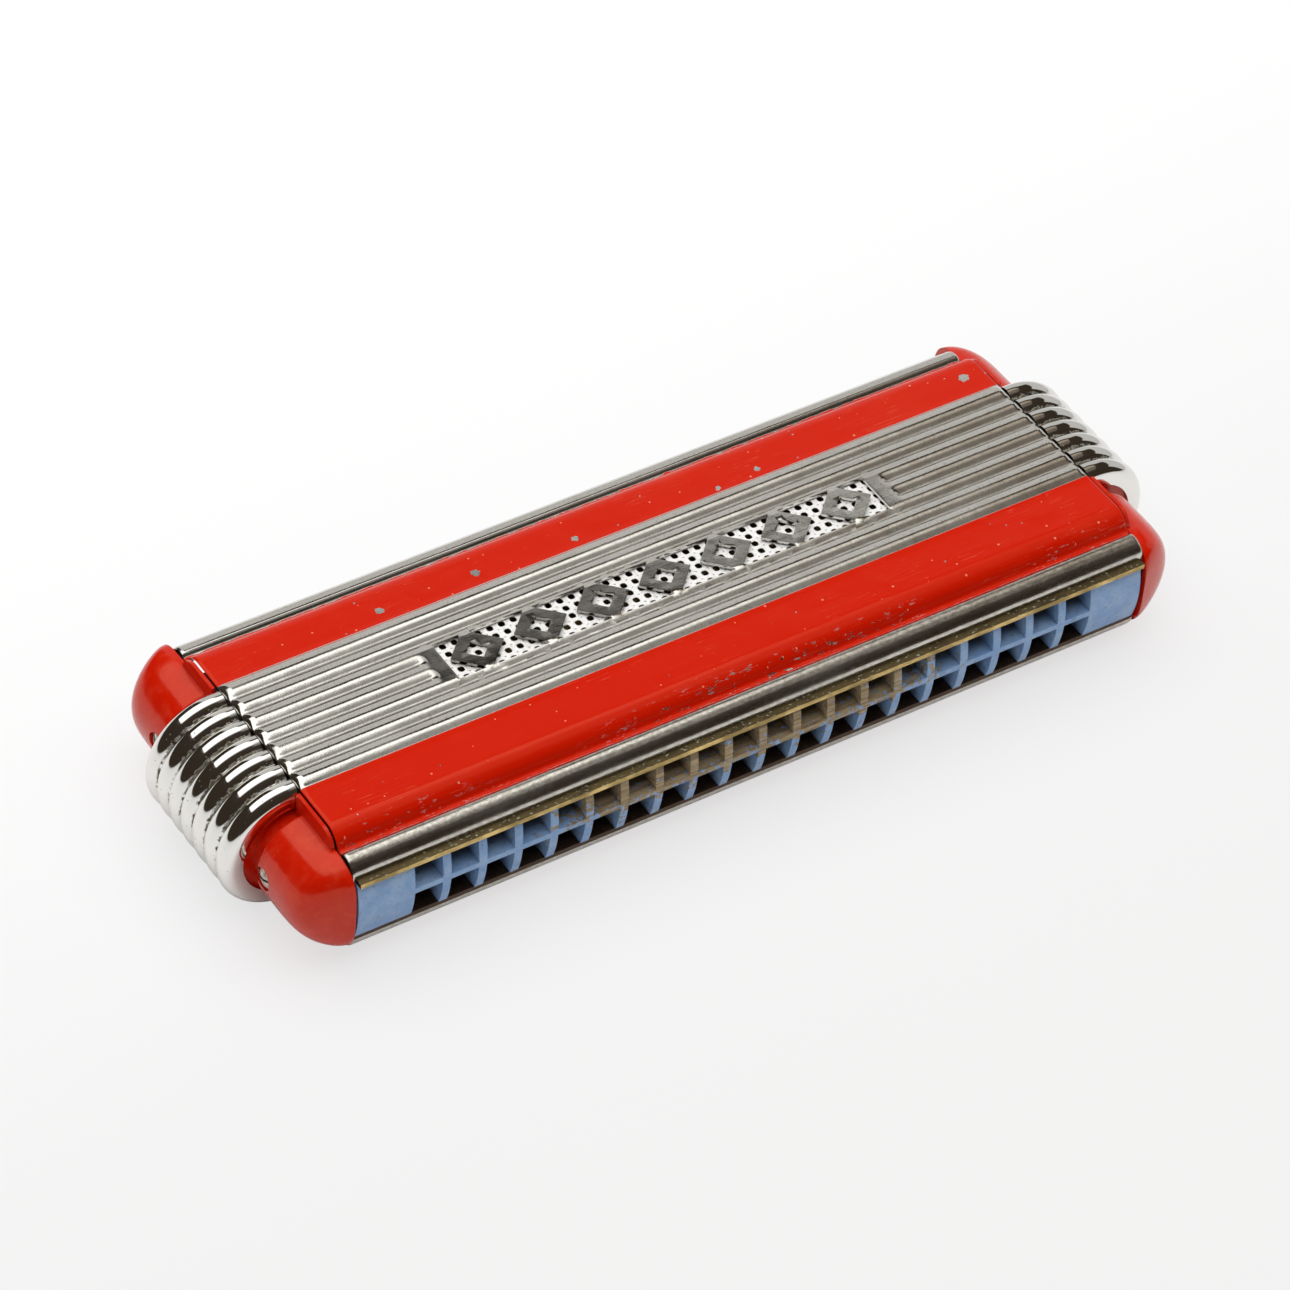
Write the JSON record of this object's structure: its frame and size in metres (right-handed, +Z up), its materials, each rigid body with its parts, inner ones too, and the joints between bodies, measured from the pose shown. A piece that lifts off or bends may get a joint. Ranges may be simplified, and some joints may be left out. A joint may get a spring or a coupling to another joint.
{
  "type": "tremolo harmonica",
  "caption": "Mouth organ with two rows of holes in a painted wood comb, ribbed metal covers with painted bands, rounded end caps and ribbed end bands.",
  "frame": {"origin": "under the middle of the body, on the plane of the lower cover's rib crests", "axes": "+X along the length towards the high notes, -Y towards the player's mouth, +Z up towards the upper cover"},
  "size_m": [0.1682, 0.0584, 0.024],
  "materials": {
    "comb_wood": "pale blue paint over wood, worn back at the middle dividers",
    "plate_brass": "tarnished",
    "reed_brass": "rolled and filed",
    "cover_metal": "worn nickel plate with red enamel bands",
    "grille_metal": "bright nickel plate",
    "red_enamel": "gloss red enamel",
    "band_chrome": "polished, dirt in the creases",
    "screw_nickel": "nickel plated, scratched"
  },
  "bodies": {
    "harmonica": {"comb": "comb_wood", "upper_reed_plate": "plate_brass", "lower_reed_plate": "plate_brass", "upper_reed_roots": "reed_brass", "lower_reed_roots": "reed_brass", "upper_reed_rivets": "plate_brass", "lower_reed_rivets": "plate_brass", "upper_plate_nails": "plate_brass", "lower_plate_nails": "plate_brass", "upper_cover": "cover_metal", "lower_cover": "cover_metal", "upper_grille": "grille_metal", "lower_grille": "grille_metal", "left_end_cap": "red_enamel", "right_end_cap": "red_enamel", "left_end_band": "band_chrome", "right_end_band": "band_chrome", "left_end_screws": "screw_nickel", "right_end_screws": "screw_nickel"},
    "upper_blow": {"upper_blow_reeds": "reed_brass"},
    "upper_draw": {"upper_draw_reeds": "reed_brass"},
    "lower_blow": {"lower_blow_reeds": "reed_brass"},
    "lower_draw": {"lower_draw_reeds": "reed_brass"}
  },
  "joints": [
    {"name": "upper_blow_swing", "type": "hinge", "parent": "harmonica", "child": "upper_blow", "pos_m": [0, -0.0015, 0.01738], "axis": [1, 0, 0], "range_deg": [-2.5, 2.5]},
    {"name": "upper_draw_swing", "type": "hinge", "parent": "harmonica", "child": "upper_draw", "pos_m": [0, -0.0015, 0.01847], "axis": [1, 0, 0], "range_deg": [-2.5, 2.5]},
    {"name": "lower_blow_swing", "type": "hinge", "parent": "harmonica", "child": "lower_blow", "pos_m": [0, -0.0015, 0.00662], "axis": [-1, 0, 0], "range_deg": [-2.5, 2.5]},
    {"name": "lower_draw_swing", "type": "hinge", "parent": "harmonica", "child": "lower_draw", "pos_m": [0, -0.0015, 0.00553], "axis": [-1, 0, 0], "range_deg": [-2.5, 2.5]}
  ]
}
